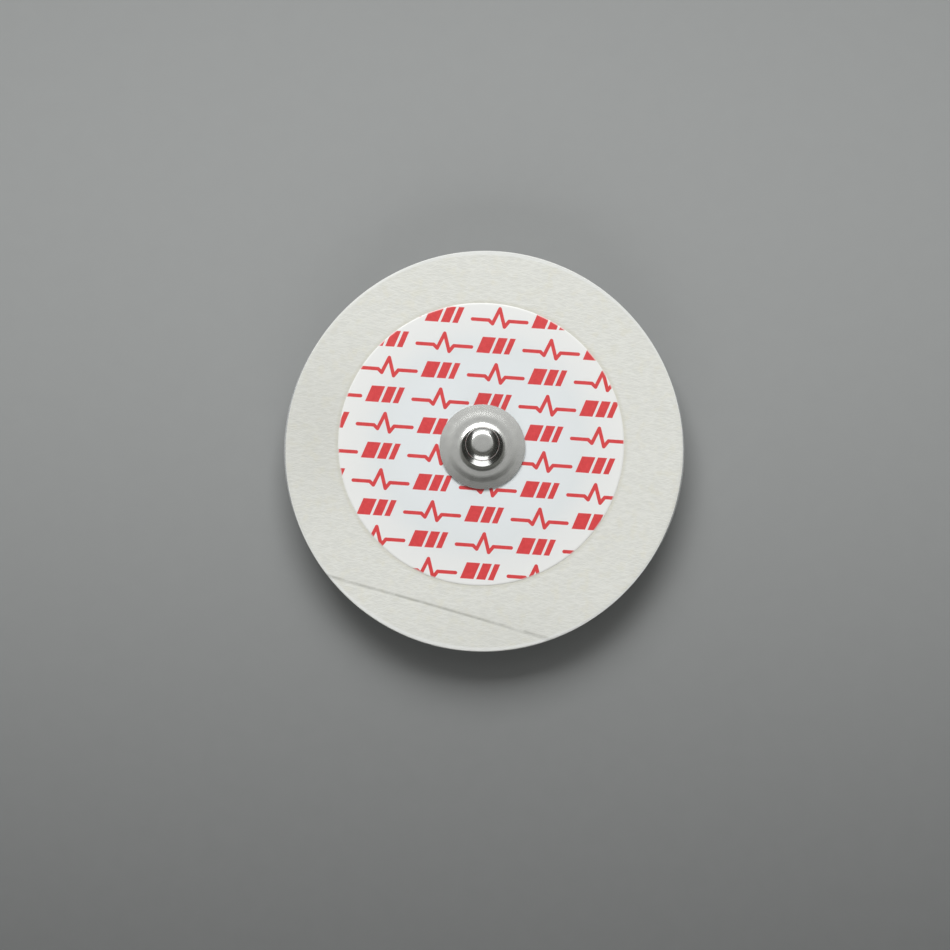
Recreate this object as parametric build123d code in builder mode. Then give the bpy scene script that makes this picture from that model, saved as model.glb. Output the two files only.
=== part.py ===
from build123d import *
import os
from math import cos, radians, sin, tan

# Monitoring electrode with a snap stud, lying on the cup of its release liner.
# Millimetres. The origin is on the flat of the cup, under the middle of the cloth disc.
# +Z leaves the snap stud, +X is the right of the face and +Y its top.
# Everything round is turned about the sensor's own centre line, which the photograph
# shows a little off the middle of the disc.

# Cloth disc
tape_d = 46.2
tape_t = 0.35
tape_opening_gap = 0.2
crease_w = 0.24
crease_depth = 0.08

# Printed label
label_d = 32.8
label_t = 0.12
label_shift_x = -0.36
label_shift_y = 0.72

# Centre line of the stud, the eyelet, the sponge and the cup
sensor_shift_x = -0.21
sensor_shift_y = 0.30

# Snap stud: drawn sheet, heights above the top of its flange's rim
stud_t = 0.22
stud_flange_d = 9.9
step_d = 8.30
step_foot_rise = 0.04
step_run = 0.60
step_rise = 0.09
collar_foot_d = 5.66
collar_foot_rise = 0.10
collar_crest_d = 4.78
collar_rise = 0.21
collar_floor_d = 4.08
collar_floor_rise = 0.01
neck_d = 3.12
head_d = 3.92
head_undercut = 1.16
head_band_low = 1.52
head_band = 0.45
shoulder_d = 3.60
shoulder_rise = 2.17
crown_d = 2.52
crown_rise = 2.53
crest_radius = 0.14
band_radius = 0.22
shoulder_radius = 0.72
crown_radius = 0.85
rim_bevel = 0.06

# Sensor eyelet: coated plastic, pressed up into the stud
eyelet_lip = 0.25
eyelet_t = 0.40
eyelet_bevel = 0.12
post_gap = 0.02
post_draft = 3.0
post_chamfer = 0.25
post_head_gap = 0.10
label_hole_gap = 0.05

# Gel sponge
sponge_d = 17.0
sponge_pocket_gap = 0.05

# Release liner: thermoformed clear sheet with a cup, split so that it peels in two
liner_t = 0.30
cup_depth = 4.10
cup_gap = 0.25
cup_draft = 9.0
cup_floor_radius = 0.9
cup_mouth_radius = 0.7
split_inset = 4.1
split_angle = 254.0
split_gap = 0.12

# One overrun serves every cut, and a corner takes at most this share of a run
overrun = 1.0
corner_share = 0.46

# Levels, from the cup's flat upwards
tape_bottom = cup_depth + liner_t
tape_top = tape_bottom + tape_t
label_top = tape_top + label_t
flange_top = label_top + stud_t

# Centre line, and the upright half plane that every turned profile is drawn on
sensor_axis = Axis((sensor_shift_x, sensor_shift_y, 0), (0, 0, 1))


def section_at(level):
    """Half plane through the centre line: x is the radius, y the height over level."""
    return Plane(origin=(sensor_shift_x, sensor_shift_y, level), x_dir=(1, 0, 0), z_dir=(0, -1, 0))


def fitted_radii(points, wanted):
    """Corner radii, each no larger than its two runs leave room for; zero stays sharp."""
    corners = zip(points, points[1:], points[2:], wanted)
    fitted = []
    for before, corner, after, radius in corners:
        run_in = Vector(*corner) - Vector(*before)
        run_out = Vector(*after) - Vector(*corner)
        half_turn = radians(run_in.get_angle(run_out)) / 2
        room = corner_share * min(run_in.length, run_out.length)
        fitted.append(min(radius, room / tan(half_turn)))
    return fitted


def sheet_outline(points, radii, thickness):
    """Closed outline of a formed sheet: rounded outside, sharp inside, one thickness apart."""
    outside = FilletPolyline(*points, radius=fitted_radii(points, radii))
    corners = Polyline(*points, mode=Mode.PRIVATE)
    inside = corners.offset_2d(thickness, kind=Kind.INTERSECTION, side=Side.LEFT, closed=False)
    add(inside)
    inside_ends = inside.position_at(0), inside.position_at(1)
    for outside_end in (outside @ 0, outside @ 1):
        Line(outside_end, min(inside_ends, key=lambda end: (end - outside_end).length))


# Split line: a straight chord across the foot of the disc
split_distance = tape_d / 2 - split_inset
split_out = Vector(cos(radians(split_angle)), sin(radians(split_angle)), 0)
split_along = split_out.rotate(Axis.Z, 90)


def split_cut(distance):
    """Upright plane square to the split's outward direction, at this distance out."""
    return Plane(origin=split_out * distance, x_dir=split_along, z_dir=split_out)


# Snap stud: one drawn sheet, from the flange's rim over the collar and neck to the crown
stud_points = [
    (stud_flange_d / 2, 0),
    (step_d / 2, step_foot_rise),
    (step_d / 2 - step_run, step_rise),
    (collar_foot_d / 2, collar_foot_rise),
    (collar_crest_d / 2, collar_rise),
    (collar_floor_d / 2, collar_floor_rise),
    (neck_d / 2, collar_floor_rise),
    (neck_d / 2, head_undercut),
    (head_d / 2, head_band_low),
    (head_d / 2, head_band_low + head_band),
    (shoulder_d / 2, shoulder_rise),
    (crown_d / 2, crown_rise),
    (0, crown_rise),
]
stud_radii = [0, 0, 0, crest_radius, 0, 0, 0, band_radius, band_radius, shoulder_radius, crown_radius]

with BuildPart() as snap_stud:
    with BuildSketch(section_at(flange_top)):
        with BuildLine():
            sheet_outline(stud_points, stud_radii, stud_t)
        make_face()
    revolve(axis=sensor_axis)
    rim_edges = snap_stud.edges().filter_by(GeomType.CIRCLE).group_by(SortBy.RADIUS)[-1]
    chamfer(rim_edges, length=min(rim_bevel, corner_share * stud_t))

# Sensor eyelet: flange under the label, tapered post up the stud's neck to its crown
eyelet_d = stud_flange_d + 2 * eyelet_lip
post_r = neck_d / 2 - stud_t - post_gap
post_top = flange_top + crown_rise - stud_t - post_head_gap
post_height = post_top - tape_top
post_top_r = post_r - post_height * tan(radians(post_draft))

with BuildPart() as sensor_eyelet:
    with BuildSketch(section_at(tape_top)):
        with BuildLine():
            Polyline(
                (0, -eyelet_t),
                (eyelet_d / 2, -eyelet_t),
                (eyelet_d / 2, 0),
                (post_r, 0),
                (post_top_r, post_height),
                (0, post_height),
                close=True,
            )
        make_face()
    revolve(axis=sensor_axis)
    eyelet_rings = sensor_eyelet.edges().filter_by(GeomType.CIRCLE)
    chamfer(eyelet_rings.group_by(SortBy.RADIUS)[-1], length=min(eyelet_bevel, corner_share * eyelet_t))
    chamfer(eyelet_rings.group_by(Axis.Z)[-1], length=min(post_chamfer, corner_share * post_top_r))

# Printed label: a thin disc with a hole for the eyelet's post
with BuildPart() as label:
    with BuildSketch(Plane.XY.offset(tape_top)):
        with Locations((label_shift_x, label_shift_y)):
            Circle(label_d / 2)
        with Locations((sensor_shift_x, sensor_shift_y)):
            Circle(post_r + label_hole_gap, mode=Mode.SUBTRACT)
    extrude(amount=label_t)

# Cloth disc: open over the sponge, with a fine crease along the liner's split
with BuildPart() as cloth_backing:
    with BuildSketch(Plane.XY.offset(tape_bottom)):
        Circle(tape_d / 2)
        with Locations((sensor_shift_x, sensor_shift_y)):
            Circle(sponge_d / 2 + tape_opening_gap, mode=Mode.SUBTRACT)
    extrude(amount=tape_t)
    crease_start = split_out * split_distance + Vector(0, 0, tape_top)
    with BuildSketch(Plane(origin=crease_start, x_dir=split_out, z_dir=split_along)) as crease:
        with BuildLine():
            Polyline((-crease_w / 2, 0), (crease_w / 2, 0), (0, -crease_depth), close=True)
        make_face()
    extrude(amount=tape_d / 2, both=True, mode=Mode.SUBTRACT)

# Gel sponge: stands on the cup's floor, with a pocket for the eyelet's flange
with BuildPart() as gel_sponge:
    with BuildSketch(section_at(liner_t)):
        with BuildLine():
            Polyline(
                (0, 0),
                (sponge_d / 2, 0),
                (sponge_d / 2, tape_top - liner_t),
                (eyelet_d / 2 + sponge_pocket_gap, tape_top - liner_t),
                (eyelet_d / 2 + sponge_pocket_gap, tape_top - liner_t - eyelet_t),
                (0, tape_top - liner_t - eyelet_t),
                close=True,
            )
        make_face()
    revolve(axis=sensor_axis)

# Release liner: the cup and the main part of the sheet, up to the split
cup_floor_r = sponge_d / 2 + cup_gap + liner_t
cup_mouth_r = cup_floor_r + cup_depth * tan(radians(cup_draft))
liner_reach = tape_d / 2 + overrun
liner_points = [(0, 0), (cup_floor_r, 0), (cup_mouth_r, cup_depth), (liner_reach, cup_depth)]
liner_radii = [cup_floor_radius, cup_mouth_radius]

with BuildPart() as release_liner:
    with BuildSketch(section_at(0)):
        with BuildLine():
            sheet_outline(liner_points, liner_radii, liner_t)
        make_face()
    revolve(axis=sensor_axis)
    with BuildSketch():
        Circle(tape_d / 2)
    extrude(amount=tape_bottom, mode=Mode.INTERSECT)
    split(bisect_by=split_cut(split_distance - split_gap / 2), keep=Keep.BOTTOM)

# Liner tab: the small part of the sheet beyond the split
with BuildPart() as liner_tab:
    with BuildSketch(Plane.XY.offset(cup_depth)):
        Circle(tape_d / 2)
    extrude(amount=liner_t)
    split(bisect_by=split_cut(split_distance + split_gap / 2), keep=Keep.TOP)

# Files, one for each piece
os.makedirs("parts", exist_ok=True)

snap_stud.part.label = "snap_stud"
export_step(snap_stud.part, "parts/snap_stud.step")
sensor_eyelet.part.label = "sensor_eyelet"
export_step(sensor_eyelet.part, "parts/sensor_eyelet.step")
label.part.label = "label"
export_step(label.part, "parts/label.step")
cloth_backing.part.label = "cloth_backing"
export_step(cloth_backing.part, "parts/cloth_backing.step")
gel_sponge.part.label = "gel_sponge"
export_step(gel_sponge.part, "parts/gel_sponge.step")
release_liner.part.label = "release_liner"
export_step(release_liner.part, "parts/release_liner.step")
liner_tab.part.label = "liner_tab"
export_step(liner_tab.part, "parts/liner_tab.step")
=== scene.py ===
from math import cos, pi, radians, sin, tan

import bmesh
import bpy
import numpy as np
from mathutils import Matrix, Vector


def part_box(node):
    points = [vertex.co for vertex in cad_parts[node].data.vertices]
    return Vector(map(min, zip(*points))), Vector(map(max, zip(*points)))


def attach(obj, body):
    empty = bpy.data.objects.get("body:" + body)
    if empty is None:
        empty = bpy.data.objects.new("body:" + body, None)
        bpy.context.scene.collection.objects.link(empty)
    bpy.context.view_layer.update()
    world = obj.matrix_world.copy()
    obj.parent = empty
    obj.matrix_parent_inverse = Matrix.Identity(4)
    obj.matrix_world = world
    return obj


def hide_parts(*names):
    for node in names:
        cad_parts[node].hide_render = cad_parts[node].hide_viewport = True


# Monitoring electrode with a snap stud, lying face up on the cup of its release liner.
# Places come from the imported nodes' boxes; sizes that a box doesn't hold are named here, in metres.
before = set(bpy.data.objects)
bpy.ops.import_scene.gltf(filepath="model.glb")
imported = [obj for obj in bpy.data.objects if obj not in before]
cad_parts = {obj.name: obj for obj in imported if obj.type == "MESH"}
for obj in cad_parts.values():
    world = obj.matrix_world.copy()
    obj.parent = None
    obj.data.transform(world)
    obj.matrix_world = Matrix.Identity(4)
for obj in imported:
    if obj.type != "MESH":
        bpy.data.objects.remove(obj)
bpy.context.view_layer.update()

MM = 0.001


def middle(node):
    """Middle of a node's box seen from above."""
    low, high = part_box(node)
    return np.array([(low.x + high.x) / 2, (low.y + high.y) / 2])


def half_width(node):
    """Half the width of a node's box, which is the radius of a round piece."""
    low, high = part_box(node)
    return (high.x - low.x) / 2


def levels(node):
    """Lowest and highest level of a node's box."""
    low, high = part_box(node)
    return low.z, high.z


# Cloth disc
tape_low, tape_top = levels("cloth_backing")
tape_r = half_width("cloth_backing")
tape_t = tape_top - tape_low
tape_opening_gap = 0.2 * MM
tape_spread = 0.0036
tape_oval = 0.0104
oval_heading = radians(82)
rim_round = 0.10 * MM
cloth_wave = 0.05 * MM
edge_wobble = 0.0016
wobble_ring_r = 9 * MM

# Crease across the foot of the cloth, over the liner's split
split_angle = radians(254.0)
split_inset = 4.1 * MM
split_gap = 0.12 * MM
crease_half = 0.15 * MM
crease_depth = 0.035 * MM
fold_drop = 0.05 * MM
fold_reach = 3.2 * MM
split_out = np.array([cos(split_angle), sin(split_angle)])
split_along = np.array([-sin(split_angle), cos(split_angle)])
split_distance = tape_r - split_inset

# Label
label_centre = middle("label")
label_low, label_top = levels("label")
label_spread = 0.006
label_r = half_width("label") * (1 + label_spread)
film_t = 0.075 * MM
film_top = label_low + film_t
film_roll_w = 0.2 * MM
film_wave = 0.012 * MM
film_hole_gap = 0.03 * MM

# Stud, sponge and cup share one centre line
sensor_centre = middle("snap_stud")
stud_r = half_width("snap_stud")

# Snap stud: diameters of its outside face, and heights over the top of its flange's rim. The flange
# steps up to a raised collar, whose foot flares up into the neck under the head.
stud_t = 0.22 * MM
flange_top = label_top + stud_t
step_d = 8.30 * MM
step_foot_rise = 0.04 * MM
step_run = 0.60 * MM
step_rise = 0.088 * MM
collar_foot_d = 5.50 * MM
collar_foot_rise = 0.10 * MM
flare_foot_d = 4.74 * MM
flare_foot_rise = 0.20 * MM
flare_d = 3.62 * MM
flare_rise = 0.58 * MM
neck_foot_rise = 0.92 * MM
neck_d = 3.12 * MM
head_d = 3.92 * MM
head_undercut = 1.16 * MM
head_band_low = 1.52 * MM
crown_rise = 2.53 * MM
crown_flat_r = 1.12 * MM
crown_fall = 0.619 * MM
crown_power = 1.63
crown_onset = 0.22 * MM

# Radii of the outside face's corners, from the rim inwards and up, and of the rim's foot
step_radius = 6.00 * MM
collar_foot_radius = 2.00 * MM
flare_foot_radius = 0.36 * MM
flare_radius = 0.50 * MM
neck_radius = 0.20 * MM
undercut_radius = 0.16 * MM
band_radius = 0.20 * MM
head_edge_radius = 0.20 * MM
rim_foot_radius = 0.03 * MM

# Sponge and liner
sponge_r = half_width("gel_sponge")
sponge_bottom, sponge_top = levels("gel_sponge")
liner_top = levels("release_liner")[1]
liner_t = sponge_bottom
cup_depth = liner_top - liner_t
eyelet_t = 0.40 * MM
pocket_gap = 0.05 * MM
foam_edge_radius = 0.25 * MM
foam_top_radius = 0.15 * MM
foam_pocket_radius = 0.05 * MM
cup_gap = 0.25 * MM
cup_draft = radians(9.0)
cup_floor_radius = 0.62 * MM
cup_mouth_radius = 0.95 * MM
mouth_margin = 2.5 * MM

# Longest steps along the outlines, and the distance under which corners are merged
arc_step = 0.02 * MM
stud_step = 0.10 * MM
foam_step = 0.3 * MM
liner_step = 0.5 * MM
merge_distance = 0.0002 * MM


# Meshes: every surface is a grid of points worked out as whole arrays

def grid_faces(rows, columns, around=False):
    """Quads of a grid of points counted row by row; around joins the last row to the first."""
    row = np.arange(rows if around else rows - 1)[:, None]
    column = np.arange(columns - 1)[None, :]
    following = (row + 1) % rows
    corners = (row, column), (following, column), (following, column + 1), (row, column + 1)
    return np.stack([r * columns + c for r, c in corners], axis=-1).reshape(-1, 4)


def piece_from_grid(name, points, around=False):
    """Object of a grid of points, shape (rows, columns, 3)."""
    return piece_from_faces(name, points.reshape(-1, 3), grid_faces(*points.shape[:2], around))


def piece_from_faces(name, points, faces):
    """Object with these corners and quads; corners that coincide are merged."""
    mesh = bpy.data.meshes.new(name)
    mesh.from_pydata(points.tolist(), [], faces.tolist())
    merge_corners(mesh)
    piece = bpy.data.objects.new(name, mesh)
    bpy.context.scene.collection.objects.link(piece)
    return piece


def merge_corners(mesh):
    """Merges doubled corners, drops faces that they flatten and turns every face outwards."""
    work = bmesh.new()
    work.from_mesh(mesh)
    bmesh.ops.remove_doubles(work, verts=work.verts, dist=merge_distance)
    bmesh.ops.dissolve_degenerate(work, edges=work.edges, dist=merge_distance)
    bmesh.ops.recalc_face_normals(work, faces=work.faces)
    work.to_mesh(mesh)
    work.free()


def face_up(piece):
    """Turns an open sheet so that its faces look up."""
    mesh = piece.data
    normals = np.zeros(len(mesh.polygons) * 3, np.float32)
    mesh.polygons.foreach_get("normal", normals)
    if normals[2::3].sum() < 0:
        mesh.flip_normals()


def thicken(piece, thickness, even=False):
    """Gives an open sheet its thickness, downwards from the modelled face, as a finished mesh."""
    wall = piece.modifiers.new("wall", "SOLIDIFY")
    wall.thickness = thickness
    wall.offset = -1
    wall.use_even_offset = even
    shown = bpy.context.evaluated_depsgraph_get()
    sheet = bpy.data.meshes.new_from_object(piece.evaluated_get(shown))
    piece.modifiers.clear()
    piece.data = sheet


def soften(piece, angle=35.0):
    """Smooth shading, apart from edges that turn more sharply than this angle."""
    piece.data.polygons.foreach_set("use_smooth", np.ones(len(piece.data.polygons), bool))
    piece.data.set_sharp_from_angle(angle=radians(angle))


def rounded(points, radii):
    """Polyline whose corners are arcs: each arc touches both runs at radius times tan(half turn)."""
    points = [np.array(p, float) for p in points]
    line = [points[0]]
    for before, corner, after, radius in zip(points, points[1:], points[2:], radii):
        back = (before - corner) / np.linalg.norm(before - corner)
        ahead = (after - corner) / np.linalg.norm(after - corner)
        turn = pi - np.arccos(np.clip(back @ ahead, -1, 1))
        least_run = min(np.linalg.norm(before - corner), np.linalg.norm(after - corner))
        reach = min(radius * tan(turn / 2), 0.48 * least_run)
        radius = reach / tan(turn / 2)
        middle_way = (back + ahead) / np.linalg.norm(back + ahead)
        hub = corner + middle_way * radius / cos(turn / 2)
        start, end = corner + back * reach - hub, corner + ahead * reach - hub
        count = max(4, int(radius * turn / arc_step))
        share = np.linspace(0, 1, count)[:, None]
        arc = (np.sin((1 - share) * turn) * start + np.sin(share * turn) * end) / sin(turn)
        line.extend(hub + arc)
    line.append(points[-1])
    return np.array(line)


def divided(line, longest):
    """The same line with its long straight runs divided, so that no step is over this length."""
    pieces = []
    for start, end in zip(line, line[1:]):
        count = max(1, int(np.ceil(np.linalg.norm(end - start) / longest)))
        pieces.append(start + (end - start) * np.arange(count)[:, None] / count)
    return np.vstack(pieces + [line[-1:]])


def turned(name, line, centre, segments=256):
    """Surface of revolution: the point at radius r and height z goes to centre + r(cos a, sin a), z."""
    angle = np.linspace(0, 2 * pi, segments, endpoint=False)[:, None]
    radius, height = line[:, 0][None, :], line[:, 1][None, :]
    x, y = centre[0] + radius * np.cos(angle), centre[1] + radius * np.sin(angle)
    return piece_from_grid(name, np.stack([x, y, height + 0 * angle], axis=-1), around=True)


def offset_line(line, distance):
    """The line moved sideways, to its left, by the average normal of the steps at each point."""
    steps = np.diff(line, axis=0)
    steps /= np.linalg.norm(steps, axis=1)[:, None]
    normals = np.stack([-steps[:, 1], steps[:, 0]], axis=1)
    at_points = np.vstack([normals[:1], normals[:-1] + normals[1:], normals[-1:]])
    at_points /= np.linalg.norm(at_points, axis=1)[:, None]
    return line + at_points * distance


def ripple(x, y, seed, waves=9, shortest=7 * MM, longest=26 * MM):
    """Sum of seeded sine waves over the plane, from -1 to 1: the gentle unevenness of a soft sheet."""
    chance = np.random.default_rng(seed)
    lengths = chance.uniform(shortest, longest, waves)
    headings = chance.uniform(0, pi, waves)
    phases = chance.uniform(0, 2 * pi, waves)
    total = np.zeros(np.broadcast(x, y).shape)
    for length, heading, phase in zip(lengths, headings, phases):
        total += np.sin(2 * pi / length * (x * cos(heading) + y * sin(heading)) + phase)
    return total / waves


def smooth_step(x):
    """0 below 0, 1 above 1, and 3x squared less 2x cubed between."""
    x = np.clip(x, 0, 1)
    return x * x * (3 - 2 * x)


def turned_axes(x, y, heading):
    """The same points measured along a heading and square to it."""
    return x * cos(heading) + y * sin(heading), y * cos(heading) - x * sin(heading)


def fold_fall(v):
    """Fall of the sheets past the split: a soft step down at it that rises again over fold_reach."""
    past = v - split_distance
    return fold_drop * smooth_step(past / (2 * crease_half) + 0.5) * (1 - smooth_step(past / fold_reach))


# Pieces

def head_level(radius):
    """Level of the head's top: past its flat it falls as a power of the distance in millimetres, and the
    distance grows softly from nothing as half of d + root(d2 + onset2)."""
    past_flat = radius - crown_flat_r
    past_flat = (past_flat + np.sqrt(past_flat ** 2 + crown_onset ** 2)) / 2
    return crown_rise - crown_fall * (past_flat / MM) ** crown_power


def make_stud():
    """Drawn stud: its outside line from the rim to the crown, turned, with the inside one sheet away.
    The dome starts past the arc at the head's edge, whose reach follows from the dome's slope there."""
    head_r = head_d / 2
    edge_fall = crown_fall / MM * crown_power * ((head_r - crown_flat_r) / MM) ** (crown_power - 1)
    edge_reach = head_edge_radius * tan((pi / 2 - np.arctan(edge_fall)) / 2)
    dome_r = np.linspace(head_r - 2.2 * edge_reach, 0.5 * crown_flat_r, 56)
    dome = np.stack([dome_r, head_level(dome_r)], axis=1)
    corners = [
        (stud_r, 0),
        (step_d / 2, step_foot_rise),
        (step_d / 2 - step_run, step_rise),
        (collar_foot_d / 2, collar_foot_rise),
        (flare_foot_d / 2, flare_foot_rise),
        (flare_d / 2, flare_rise),
        (neck_d / 2, neck_foot_rise),
        (neck_d / 2, head_undercut),
        (head_r, head_band_low),
        (head_r, head_level(head_r)),
        dome[0],
    ]
    flange_radii = [step_radius, step_radius, collar_foot_radius]
    neck_radii = [flare_foot_radius, flare_radius, neck_radius, undercut_radius]
    radii = flange_radii + neck_radii + [band_radius, head_edge_radius]
    line = np.vstack([rounded(corners, radii), dome[1:], [(0, crown_rise)]])
    outside = divided(line, stud_step) + [0, flange_top]
    inside = offset_line(outside, stud_t)
    inside[-1, 0] = 0
    rim_top, rim_foot = outside[0], (stud_r, inside[0, 1])
    rim = rounded([outside[2], rim_top, rim_foot, inside[2]], [0, rim_foot_radius])
    piece = turned("stud_shell", np.vstack([outside[:2:-1], rim, inside[3:]]), sensor_centre)
    soften(piece)
    return piece


def chord_rows():
    """Distances along split_out of the cloth grid's rows: cosine spaced, dense at the crease, and ended
    just short of the disc's edge, so that the last row keeps a width."""
    short = 0.014
    even = -np.cos(np.linspace(short, pi - short, 170)) * tape_r
    one_side = np.array([0.4, 0.8, 1.3, 2.0, 3.2])
    near = split_distance + crease_half * np.concatenate([-one_side[::-1], [0], one_side])
    keep = np.abs(even - split_distance) > 3.6 * crease_half
    return np.sort(np.concatenate([even[keep], near]))


def cloth_points(along_out, along_split):
    """The flat disc's points, softened. Their level is the cloth's top, less the rounded rim, the
    crease and the fold, with a gentle wave past the label, where the plan also grows by the spread,
    the oval and a wobble that follows the heading."""
    x = split_out[0] * along_out + split_along[0] * along_split
    y = split_out[1] * along_out + split_along[1] * along_split
    out = np.hypot(x, y)
    grow = smooth_step((out - label_r) / (tape_r - label_r))
    edge = smooth_step((out - (tape_r - rim_round)) / rim_round)
    off_crease = np.abs(along_out - split_distance) / crease_half
    depth = crease_depth * (0.75 + 0.5 * ripple(x, y, 8, shortest=2 * MM, longest=6 * MM))
    sunk = rim_round * 0.8 * edge ** 2 + depth * np.exp(-off_crease ** 2) + fold_fall(along_out)
    z = tape_top + cloth_wave * ripple(x, y, 4) * grow - sunk
    ring = wobble_ring_r / np.maximum(out, 1e-6)
    wobble = edge_wobble * ripple(x * ring, y * ring, 12)
    long_way, short_way = turned_axes(x, y, oval_heading)
    long_way = long_way * (1 + (wobble + tape_spread + tape_oval) * grow)
    short_way = short_way * (1 + (wobble + tape_spread - tape_oval) * grow)
    x, y = turned_axes(long_way, short_way, -oval_heading)
    return np.stack([x, y, z], axis=-1)


def make_cloth():
    """Two half grids whose rows run along the crease: a point is split_out v + split_along x, where x
    goes from the opening's edge, or the middle line past it, to the disc's edge at root(R2 - v2)."""
    v = chord_rows()[:, None]
    share = np.linspace(0, 1, 76)[None, :]
    opening_r = sponge_r + tape_opening_gap
    opening = np.array([sensor_centre @ split_out, sensor_centre @ split_along])
    inner_half = np.sqrt(np.clip(opening_r ** 2 - (v - opening[0]) ** 2, 0, None))
    outer = np.sqrt(np.clip(tape_r ** 2 - v ** 2, 0, None))
    halves = []
    for side in (-1, 1):
        inner_x = np.where(inner_half > 0, opening[1] + side * inner_half, opening[1])
        inner_x = np.clip(inner_x, -outer, outer)
        x = inner_x + (side * outer - inner_x) * share
        halves.append(np.stack([x, v + 0 * x], axis=-1))
    sheets = [cloth_points(along_out=half[..., 1], along_split=half[..., 0]) for half in halves]
    rows, columns = sheets[0].shape[:2]
    faces = grid_faces(rows, columns)
    faces = np.vstack([faces, faces[:, ::-1] + rows * columns])
    points = np.vstack([sheet.reshape(-1, 3) for sheet in sheets])
    piece = piece_from_faces("cloth_disc", points, faces)
    face_up(piece)
    thicken(piece, tape_t)
    soften(piece)
    return piece


def ray_reach(angle, start, centre, radius):
    """Distance from start, along each angle, to a circle: the larger root of the ray's quadratic."""
    ray = np.stack([np.cos(angle), np.sin(angle)], axis=-1)
    gap = start - centre
    along = ray @ gap
    return -along + np.sqrt(along ** 2 - gap @ gap + radius ** 2)


def make_label():
    """Rings from the post's hole to the label's edge: radius = hole + share of the way along each ray.
    They are dense at the edge, which rolls down by half the film's thickness."""
    angle = np.linspace(0, 2 * pi, 360, endpoint=False)
    hole = neck_d / 2 - stud_t + film_hole_gap
    reach = ray_reach(angle, sensor_centre, label_centre, label_r)[:, None]
    edge_shares = [0.9885, 0.9915, 0.994, 0.996, 0.998, 0.9992, 1.0]
    share = np.concatenate([np.linspace(0, 0.985, 50), edge_shares])[None, :]
    radius = hole + (reach - hole) * share
    x = sensor_centre[0] + radius * np.cos(angle)[:, None]
    y = sensor_centre[1] + radius * np.sin(angle)[:, None]
    to_edge = label_r - np.hypot(x - label_centre[0], y - label_centre[1])
    roll = 0.5 * film_t * np.clip(1 - to_edge / film_roll_w, 0, 1) ** 2
    z = film_top - roll + film_wave * ripple(x, y, 21, shortest=5 * MM, longest=14 * MM)
    piece = piece_from_grid("printed_label", np.stack([x, y, z], axis=-1), around=True)
    face_up(piece)
    thicken(piece, film_t)
    soften(piece)
    return piece


def make_sponge():
    """Turned block of foam with rounded edges and a pocket for the eyelet's flange."""
    pocket_r = half_width("sensor_eyelet") + pocket_gap
    pocket_z = tape_top - eyelet_t
    corners = [
        (0, sponge_bottom),
        (sponge_r, sponge_bottom),
        (sponge_r, sponge_top),
        (pocket_r, sponge_top),
        (pocket_r, pocket_z),
        (0, pocket_z),
    ]
    radii = [foam_edge_radius, foam_top_radius, foam_pocket_radius, foam_pocket_radius]
    line = divided(rounded(corners, radii), foam_step)
    piece = turned("foam_pad", line, sensor_centre, segments=220)
    soften(piece, 60)
    return piece


def liner_line():
    """Half section of the liner's inner face, from the cup's floor over its mouth to the sheet."""
    floor_r = sponge_r + cup_gap
    mouth_r = floor_r + cup_depth * tan(cup_draft)
    far = mouth_r + mouth_margin
    corners = [(0, liner_t), (floor_r, liner_t), (mouth_r, liner_top), (far, liner_top)]
    return divided(rounded(corners, [cup_floor_radius, cup_mouth_radius]), liner_step)


def make_liner():
    """Cup and sheet: the turned half section, then each ray runs on to the disc's edge or the split."""
    cut = split_distance - split_gap / 2
    corner_half = np.sqrt(tape_r ** 2 - cut ** 2)
    ends = [split_out * cut + split_along * side * corner_half - sensor_centre for side in (-1, 1)]
    first, last = [np.arctan2(end[1], end[0]) for end in ends]
    if last < first:
        last += 2 * pi
    across = np.linspace(first, last, 90, endpoint=False)
    rest = np.linspace(last, first + 2 * pi, 230, endpoint=False)
    angle = np.concatenate([across, rest])
    ray = np.stack([np.cos(angle), np.sin(angle)], axis=-1)
    reach = ray_reach(angle, sensor_centre, np.zeros(2), tape_r)
    facing = ray @ split_out
    to_split = np.where(facing > 0.05, (cut - sensor_centre @ split_out) / np.maximum(facing, 0.05), 1.0)
    reach = np.minimum(reach, to_split)[:, None]
    line = liner_line()
    tail = np.linspace(0, 1, 14)[None, 1:]
    radius = np.hstack([line[:, 0][None, :] + 0 * reach, line[-1, 0] + (reach - line[-1, 0]) * tail])
    height = np.hstack([line[:, 1][None, :] + 0 * reach, liner_top + 0 * reach * tail])
    x = sensor_centre[0] + radius * ray[:, :1]
    y = sensor_centre[1] + radius * ray[:, 1:]
    piece = piece_from_grid("liner_cup", np.stack([x, y, height], axis=-1), around=True)
    face_up(piece)
    thicken(piece, liner_t, even=True)
    soften(piece)
    return piece


def make_tab():
    """Part of the sheet past the split: rows run along the split, from it out to the disc's edge."""
    cut = split_distance + split_gap / 2
    v = tape_r - (tape_r - cut) * np.linspace(0.02, 1, 40)[:, None] ** 2
    half = np.sqrt(np.clip(tape_r ** 2 - v ** 2, 0, None))
    x = half * np.linspace(-1, 1, 90)[None, :]
    plan = split_out * v[..., None] + split_along * x[..., None]
    level = liner_top - fold_fall(v) + 0 * x
    points = np.concatenate([plan, level[..., None]], axis=-1)
    piece = piece_from_grid("liner_tab_sheet", points)
    face_up(piece)
    thicken(piece, liner_t)
    soften(piece)
    return piece


# Finishes: a small class writes shader maths as sums

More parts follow.
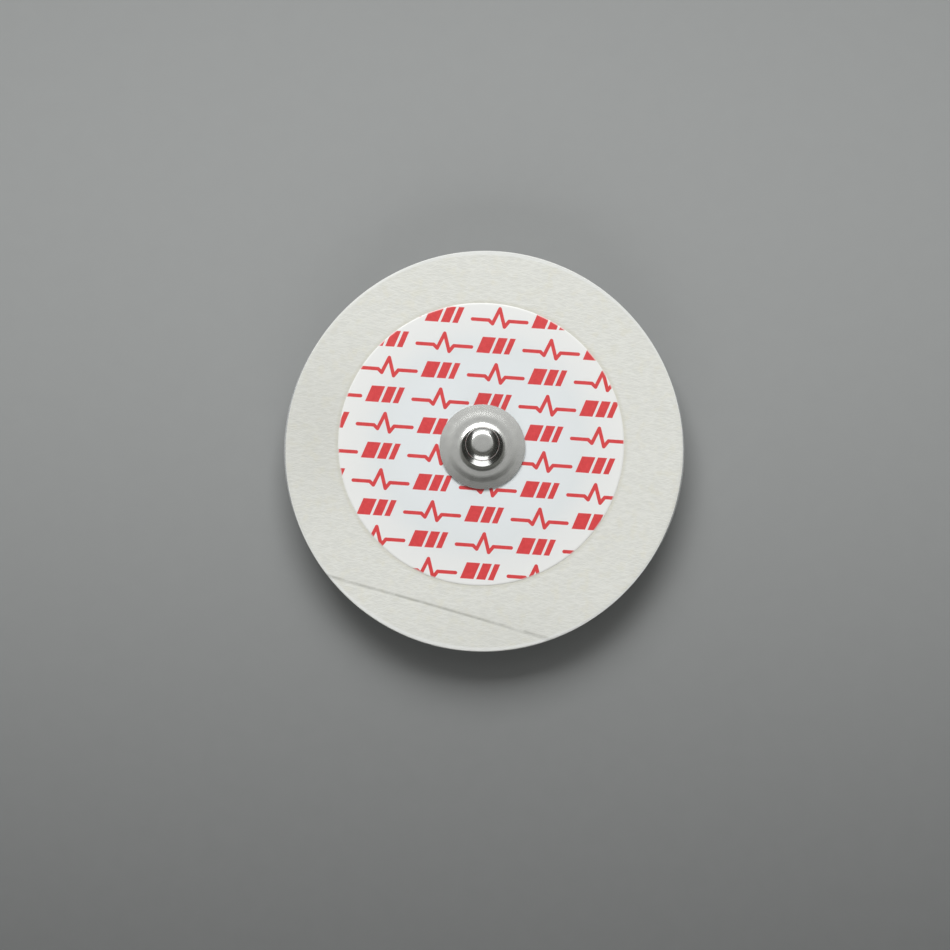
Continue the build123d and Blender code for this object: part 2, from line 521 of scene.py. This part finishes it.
class Wire:
    """A socket that can stand in a sum; each operator adds one Math node."""

    def __init__(self, finish, socket):
        self.finish, self.socket = finish, socket

    def maths(self, operation, *values):
        return self.finish.node("ShaderNodeMath", {"operation": operation}, dict(enumerate(values)))

    def __add__(self, other):
        return self.maths("ADD", self, other)

    def __sub__(self, other):
        return self.maths("SUBTRACT", self, other)

    def __rsub__(self, other):
        return self.maths("SUBTRACT", other, self)

    def __mul__(self, other):
        return self.maths("MULTIPLY", self, other)

    def __truediv__(self, other):
        return self.maths("DIVIDE", self, other)

    def __abs__(self):
        return self.maths("ABSOLUTE", self)

    def __pow__(self, other):
        return self.maths("POWER", self, other)

    __radd__, __rmul__ = __add__, __mul__

    def floor(self):
        return self.maths("FLOOR", self)

    def wrap(self, period):
        """Remainder, from 0 to the period, also below zero."""
        return self.maths("WRAP", self, period, 0.0)

    def least(self, other):
        return self.maths("MINIMUM", self, other)

    def most(self, other):
        return self.maths("MAXIMUM", self, other)

    def held(self):
        """Held between 0 and 1."""
        return self.least(1.0).most(0.0)

    def past(self, edge, soft):
        """0 below the edge and 1 above it, over a band of this width."""
        return ((self - edge) / soft + 0.5).held()


class Finish:
    """One material: node() adds a node, shade() sets the surface's own sockets."""

    def __init__(self, name):
        self.material = bpy.data.materials.new(name)
        self.material.use_nodes = True
        self.tree = self.material.node_tree
        self.surface = self.tree.nodes["Principled BSDF"]

    def node(self, kind, settings=None, inputs=None, out=0):
        """Adds a node, sets it, then links or sets its sockets, and gives back one output."""
        node = self.tree.nodes.new(kind)
        for name, value in (settings or {}).items():
            setattr(node, name, value)
        self.feed(node, inputs or {})
        return Wire(self, node.outputs[out])

    def feed(self, node, inputs):
        """Links each input that is a wire and sets each that is a value."""
        for name, value in inputs.items():
            if isinstance(value, Wire):
                self.tree.links.new(value.socket, node.inputs[name])
            else:
                node.inputs[name].default_value = value

    def ramp(self, amount, stops):
        """Colour ramp through (place, colour) stops."""
        node = self.tree.nodes.new("ShaderNodeValToRGB")
        band = node.color_ramp.elements
        while len(band) < len(stops):
            band.new(0.5)
        for element, (place, colour) in zip(band, stops):
            element.position = place
            element.color = (*colour, 1)
        self.feed(node, {0: amount})
        return Wire(self, node.outputs[0])

    def place(self, centre=(0, 0, 0), turn=0.0, scale=(1, 1, 1)):
        """Object coordinates in millimetres, centred on a point of the piece, turned and scaled."""
        here = self.node("ShaderNodeTexCoord", out="Object")
        subtract, multiply = {"operation": "SUBTRACT"}, {"operation": "MULTIPLY"}
        centred = self.node("ShaderNodeVectorMath", subtract, {0: here, 1: tuple(centre)})
        about_z = {"rotation_type": "Z_AXIS"}
        rotated = self.node("ShaderNodeVectorRotate", about_z, {"Vector": centred, "Angle": -turn})
        factors = tuple(share / MM for share in scale)
        return self.node("ShaderNodeVectorMath", multiply, {0: rotated, 1: factors})

    def plan(self, vector):
        """The x and y of a vector."""
        node = self.tree.nodes.new("ShaderNodeSeparateXYZ")
        self.feed(node, {0: vector})
        return Wire(self, node.outputs["X"]), Wire(self, node.outputs["Y"])

    def noise(self, vector, scale, detail, roughness):
        """Noise from 0 to 1, with this many periods to a unit of the vector."""
        inputs = {"Vector": vector, "Scale": scale, "Detail": detail, "Roughness": roughness}
        return self.node("ShaderNodeTexNoise", {}, inputs, out="Fac")

    def blend(self, amount, first, second):
        """Colour mix by an amount."""
        return self.node("ShaderNodeMix", {"data_type": "RGBA"}, {0: amount, 6: first, 7: second}, out=2)

    def soft_spot(self, x, y, centre, reach):
        """Bell over an oval spot: e to the minus of the squared distance in reaches."""
        away = ((x - centre[0]) / reach[0]) ** 2 + ((y - centre[1]) / reach[1]) ** 2
        return self.node("ShaderNodeMath", {"operation": "EXPONENT"}, {0: away * -1})

    def bump(self, height, distance):
        """Normal tilted by a height from 0 to 1, where 1 stands this distance out."""
        return self.node("ShaderNodeBump", {}, {"Height": height, "Distance": distance})

    def shade(self, **sockets):
        """Sets the surface's sockets, whose names have underscores for spaces, and ends the material."""
        self.feed(self.surface, {name.replace("_", " "): value for name, value in sockets.items()})
        return self.material


def srgb(red, green, blue):
    """Linear colour of an 8-bit display colour."""
    return tuple(((c / 255 + 0.055) / 1.055) ** 2.4 if c > 10 else c / 3295 for c in (red, green, blue))


def plain(colour):
    """A colour with the alpha that a socket asks for."""
    return (*colour, 1.0)


def strands(f, turn, length, spacing, thickness):
    """Thin threads near one heading: 1 where noise drawn out along it crosses its middle, else 0."""
    drawn_out = f.place(turn=radians(turn), scale=(1 / length, 1 / spacing, 1))
    across = f.noise(drawn_out, 1.0, 1.0, 0.4)
    return (1 - abs(across - 0.5) / (0.3 * thickness / spacing)).held()


def thread_sum(f, sets):
    """Sum of thread sets, each a heading in degrees, then length, spacing and thickness in millimetres."""
    return sum(strands(f, *thread_set) for thread_set in sets)


def cloth_finish():
    """Non-woven tape: short threads lying near level in crossing sets, faint warm mottling, a pale cut
    rim of whiter fibres and painted highlight, a thin warm ring round the label that is painted shadow
    with a tint of adhesive, painted soft shade at the left and the foot, and a broken line of painted
    shade along the crease."""
    f = Finish("nonwoven_tape")
    spot = f.place()
    x, y = f.plan(spot)
    threads = thread_sum(f, [(17, 1.7, 0.40, 0.15), (-15, 2.1, 0.38, 0.15), (3, 1.3, 0.36, 0.14)])
    fine = thread_sum(f, [(31, 0.9, 0.17, 0.05), (-26, 1.1, 0.15, 0.05)])
    fibres = (threads * 0.75 + fine * 0.35) / 3
    blotch = f.noise(spot, 0.9, 2.0, 0.5)
    broad = f.noise(spot, 0.12, 1.0, 0.5)
    creams = [(0.10, srgb(227, 228, 222)), (0.36, srgb(232, 233, 227)), (0.70, srgb(237, 238, 232))]
    cream = f.ramp(fibres, creams)
    warm = f.blend(blotch.past(0.62, 0.20) * 0.35, cream, plain(srgb(231, 229, 212)))
    warm = f.blend(broad.past(0.5, 0.6) * 0.12, warm, plain(srgb(225, 225, 217)))
    out = (x * x + y * y) ** 0.5
    # Pale cut rim: partly the whiter fibres at the cut, partly a painted highlight on the disc's edge.
    rim_w = 0.16
    rim = out.past(tape_r / MM - rim_w, rim_w)
    edged = f.blend(rim * 0.55, warm, plain(srgb(243, 245, 244)))
    label_x, label_y = label_centre / MM
    by_label = ((x - label_x) ** 2 + (y - label_y) ** 2) ** 0.5
    # Painted shadow of the label's edge on the cloth, with a faint tint of adhesive: a thin warm darker
    # ring round the label.
    halo_r, halo_w = label_r / MM + 0.15, 0.35
    label_shadow_and_glue = (1 - abs(by_label - halo_r) / halo_w).held()
    edged = f.blend(label_shadow_and_glue * 0.28, edged, plain(srgb(200, 196, 172)))
    # Painted shade: the cloth is darkened in a soft spot at its left and in a strip along its foot.
    painted_shade_left = f.soft_spot(x, y, (-19.5, 2.5), (8.0, 10.0))
    foot = f.soft_spot(x, y, (1.0, -21.5), (13.0, 3.6))
    edged = f.blend(painted_shade_left * 0.16 + foot * 0.09, edged, plain(srgb(152, 151, 142)))
    # Painted shade: a broken dark line along the crease over the liner's split.
    along_out = x * float(split_out[0]) + y * float(split_out[1])
    crease_shade_w = 0.22
    line = (1 - abs(along_out - split_distance / MM) / crease_shade_w).held()
    broken = f.noise(spot, 0.55, 3.0, 0.7)
    edged = f.blend(line * broken.past(0.44, 0.30) * 0.55, edged, plain(srgb(158, 158, 150)))
    skin = f.bump(fibres, 0.022 * MM)
    matt = {"Roughness": 0.82, "Specular_IOR_Level": 0.25, "Sheen_Weight": 0.15}
    return f.shade(Base_Color=edged, Normal=skin, **matt)


# Width of the print's soft edge in millimetres, in which u and v run along a row and across it
ink_edge = 0.05


def pulse_mask(u, v):
    """Thin line through seven corners: the least distance to its runs, against half the line's width."""
    rest, dip, peak, trough = -0.35, -0.75, 1.05, -1.05
    start = [(-4.1, rest), (-2.2, rest), (-1.75, dip)]
    corners = start + [(-1.0, peak), (-0.35, trough), (0.15, rest), (2.2, rest)]
    half_line = 0.21
    nearest = None
    for (ax, ay), (bx, by) in zip(corners, corners[1:]):
        run_x, run_y = bx - ax, by - ay
        length = run_x ** 2 + run_y ** 2
        share = (((u - ax) * run_x + (v - ay) * run_y) / length).held()
        far = ((u - ax - share * run_x) ** 2 + (v - ay - share * run_y) ** 2) ** 0.5
        nearest = far if nearest is None else nearest.least(far)
    return 1 - nearest.past(half_line, ink_edge)


def bars_mask(u, v):
    """Three slanted bars side by side, narrowing to the right."""
    lean, half_height = 0.35, 0.95
    leaning = u - v * lean
    within = 1 - abs(v).past(half_height, ink_edge)
    sides = (3.1, 4.65), (4.95, 6.0), (6.3, 6.95)
    bars = sum(leaning.past(left, ink_edge) * (1 - leaning.past(right, ink_edge)) for left, right in sides)
    return bars * within


def label_finish():
    """White film with rows of a red pulse line and slanted bars, every second row moved half a step, and a
    painted highlight along its edge.
    """
    f = Finish("printed_film")
    spot = f.place(centre=(*label_centre, 0), turn=radians(-4))
    x, y = f.plan(spot)
    row_pitch, step_pitch = 3.3, 12.4
    row_start, pulse_middle = 2.6, 4.7
    row = (y / row_pitch).floor()
    v = y - (row + 0.5) * row_pitch
    shift = (row * 0.5).wrap(1.0) * step_pitch
    u = (x + shift + row_start).wrap(step_pitch) - pulse_middle
    ink = pulse_mask(u, v).most(bars_mask(u, v))
    out = (x * x + y * y) ** 0.5
    patchy = f.noise(spot, 2.6, 2.0, 0.6)
    # Film tone by distance from the label's middle: bluish white, a little darker two thirds out and
    # palest at the edge.
    film_tones = [
        (0.0, srgb(237, 243, 245)),
        (0.55, srgb(237, 242, 244)),
        (0.70, srgb(235, 240, 241)),
        (0.84, srgb(242, 244, 243)),
        (1.0, srgb(246, 247, 245)),
    ]
    film = f.ramp(out / (label_r / MM), film_tones)
    red = f.ramp(patchy, [(0.3, srgb(219, 30, 36)), (0.7, srgb(230, 48, 52))])
    printed = f.blend(ink * 0.96, film, red)
    # Painted highlight: a pale band along the label's edge.
    rim_inset, rim_w = 0.09, 0.10
    rim = out.past(label_r / MM - rim_inset, rim_w)
    printed = f.blend(rim * 0.6, printed, plain(srgb(246, 246, 243)))
    grain = f.noise(spot, 6.0, 2.0, 0.5)
    skin = f.bump(grain, 0.004 * MM)
    rough = 0.38 - ink * 0.06
    return f.shade(Base_Color=printed, Roughness=rough, Specular_IOR_Level=0.5, Normal=skin)


def steel_finish():
    """Satin drawn sheet: fine grain, faint clouds of tone, a touch smoother from flare to head."""
    f = Finish("satin_stainless")
    spot = f.place(centre=(*sensor_centre, 0))
    x, y = f.plan(spot)
    out = (x * x + y * y) ** 0.5
    grain = f.noise(spot, 14.0, 3.0, 0.6)
    cloud = f.noise(spot, 1.3, 2.0, 0.5)
    smooth_r, smooth_w = 2.7, 0.5
    smoother = 1 - out.past(smooth_r, smooth_w)
    rough = 0.210 - smoother * 0.01 + cloud * 0.05
    tone = f.ramp(cloud, [(0.3, srgb(205, 206, 203)), (0.7, srgb(211, 212, 209))])
    skin = f.bump(grain, 0.0003 * MM)
    return f.shade(Base_Color=tone, Metallic=1.0, Roughness=rough, Normal=skin)


def liner_finish():
    """Clear glossy sheet, faintly milky, with the soft waves that forming leaves."""
    f = Finish("clear_formed_sheet")
    spot = f.place()
    waves = f.noise(spot, 0.35, 2.0, 0.5)
    tone = f.ramp(waves, [(0.3, srgb(226, 231, 232)), (0.7, srgb(238, 241, 241))])
    skin = f.bump(waves, 0.10 * MM)
    return f.shade(Base_Color=tone, Roughness=0.08, Alpha=0.30, Specular_IOR_Level=0.8, Normal=skin)


def foam_finish():
    """Open-cell foam wet with gel: small round pores with painted shade in their hollows, a glossy film
    over them.
    """
    f = Finish("gel_wet_foam")
    spot = f.place()
    pores = f.node("ShaderNodeTexVoronoi", {}, {"Vector": spot, "Scale": 3.2}, out="Distance")
    cloud = f.noise(spot, 0.8, 2.0, 0.5)
    painted_pore_shade = 1 - pores.past(0.34, 0.30)
    # Painted shade in the pores' hollows, mixed with a random cloud of tone.
    tone = f.ramp(painted_pore_shade * 0.6 + cloud * 0.4, [(0.2, srgb(226, 228, 220)), (0.8, srgb(190, 196, 190))])
    skin = f.bump(pores, 0.12 * MM)
    return f.shade(Base_Color=tone, Roughness=0.30, Coat_Weight=0.4, Normal=skin)


def eyelet_finish():
    """Plastic with a dull silver and silver-salt coating."""
    f = Finish("silver_coated_plastic")
    spot = f.place()
    cloud = f.noise(spot, 2.5, 3.0, 0.6)
    tone = f.ramp(cloud, [(0.3, srgb(120, 118, 116)), (0.7, srgb(150, 148, 145))])
    skin = f.bump(f.noise(spot, 9.0, 2.0, 0.5), 0.01 * MM)
    return f.shade(Base_Color=tone, Metallic=0.35, Roughness=0.55, Normal=skin)


def floor_finish():
    """Plain matt grey with a painted falloff of light: darker away from a middle behind the disc, with a
    very faint unevenness.
    """
    f = Finish("plain_grey")
    spot = f.place()
    x, y = f.plan(spot)
    # Painted light: the floor's colour falls off away from a middle behind the disc, as a lamp's light
    # would.
    painted_light_falloff = f.soft_spot(x, y, (0.0, 30.0), (260.0, 99.0))
    cloud = f.noise(spot, 0.4, 2.0, 0.5)
    level = painted_light_falloff * 0.84 + 0.13 + (cloud - 0.5) * 0.03
    tone = f.ramp(level, [(0.0, (0.0, 0.0, 0.0)), (1.0, (0.372, 0.382, 0.381))])
    return f.shade(Base_Color=tone, Roughness=0.9, Specular_IOR_Level=0.1)


def dress(piece, finish):
    """Gives a piece its one material."""
    piece.data.materials.clear()
    piece.data.materials.append(finish)


# The object

stud = make_stud()
dress(stud, steel_finish())
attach(stud, "root")
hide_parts("snap_stud")

label = make_label()
dress(label, label_finish())
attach(label, "root")
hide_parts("label")

cloth = make_cloth()
dress(cloth, cloth_finish())
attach(cloth, "root")
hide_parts("cloth_backing")

sponge = make_sponge()
dress(sponge, foam_finish())
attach(sponge, "root")
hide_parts("gel_sponge")

clear = liner_finish()
liner = make_liner()
dress(liner, clear)
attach(liner, "root")
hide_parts("release_liner")

tab = make_tab()
dress(tab, clear)
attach(tab, "root")
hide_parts("liner_tab")

dress(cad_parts["sensor_eyelet"], eyelet_finish())


# Floor, light and camera

def make_floor():
    """Square plane at the level that the cup rests on."""
    reach = 1.5
    corners = [(-reach, -reach, 0), (reach, -reach, 0), (reach, reach, 0), (-reach, reach, 0)]
    mesh = bpy.data.meshes.new("floor")
    mesh.from_pydata(corners, [], [(0, 1, 2, 3)])
    floor = bpy.data.objects.new("floor", mesh)
    bpy.context.scene.collection.objects.link(floor)
    dress(floor, floor_finish())


def add_card(name, azimuth, elevation, distance, size, glow):
    """Soft light card facing the disc, at an azimuth from +Y towards +X. A card of area A and glow L
    gives pi A L watts."""
    light = bpy.data.lights.new(name, "AREA")
    light.shape = "RECTANGLE"
    light.size, light.size_y = size
    light.energy = pi * size[0] * size[1] * glow
    card = bpy.data.objects.new(name, light)
    heading, height = radians(azimuth), radians(elevation)
    away = Vector((sin(heading) * cos(height), cos(heading) * cos(height), sin(height)))
    card.location = away * distance
    card.rotation_euler = (-away).to_track_quat("-Z", "Y").to_euler()
    bpy.context.scene.collection.objects.link(card)


def make_camera():
    """Long lens from the foot of the picture, high over the disc; the frame is 109.5 mm wide there."""
    frame_px = 950
    disc_x_px, disc_y_px = 484.2, 449.6
    pixel = 0.1153 * MM
    elevation = radians(81.5)
    camera_data = bpy.data.cameras.new("camera")
    camera_data.lens = 150.0
    camera_data.sensor_width = 36.0
    distance = frame_px * pixel * camera_data.lens / camera_data.sensor_width
    disc_right, disc_up = (disc_x_px - frame_px / 2) * pixel, (frame_px / 2 - disc_y_px) * pixel
    target = Vector((-disc_right, -disc_up / sin(elevation), tape_top))
    back = Vector((0, -cos(elevation), sin(elevation)))
    camera = bpy.data.objects.new("camera", camera_data)
    camera.location = target + back * distance
    camera.rotation_euler = (-back).to_track_quat("-Z", "Y").to_euler()
    camera_data.clip_start = 0.01
    camera_data.clip_end = 10
    bpy.context.scene.collection.objects.link(camera)
    bpy.context.scene.camera = camera


def make_world():
    """Dim room in rings of grey: each is a sine of the height over the horizon and a level. It is palest
    at about 64 degrees, and dark overhead and at the horizon."""
    room_greys = [(0.0, 0.02), (0.70, 0.05), (0.90, 0.17), (0.97, 0.12), (1.0, 0.02)]
    world = bpy.data.worlds.new("room")
    world.use_nodes = True
    tree = world.node_tree
    heading = tree.nodes.new("ShaderNodeTexCoord")
    parts = tree.nodes.new("ShaderNodeSeparateXYZ")
    ramp = tree.nodes.new("ShaderNodeValToRGB")
    while len(ramp.color_ramp.elements) < len(room_greys):
        ramp.color_ramp.elements.new(0.5)
    for element, (place, grey) in zip(ramp.color_ramp.elements, room_greys):
        element.position = place
        element.color = (grey, grey, grey * 0.92, 1)
    tree.links.new(heading.outputs["Generated"], parts.inputs[0])
    tree.links.new(parts.outputs["Z"], ramp.inputs[0])
    tree.links.new(ramp.outputs[0], tree.nodes["Background"].inputs["Color"])
    bpy.context.scene.world = world


make_floor()
add_card("key", -6.5, 47, 0.60, size=(0.507, 0.333), glow=6.22)
add_card("overhead", 0, 72.3, 0.60, size=(0.60, 0.301), glow=0.50)
add_card("fill", -175, 25.0, 0.50, size=(0.522, 0.250), glow=2.04)
add_card("far_low", 0, 19.3, 0.60, size=(0.726, 0.260), glow=0.69)
make_world()
make_camera()
bpy.context.scene.view_settings.view_transform = "Standard"
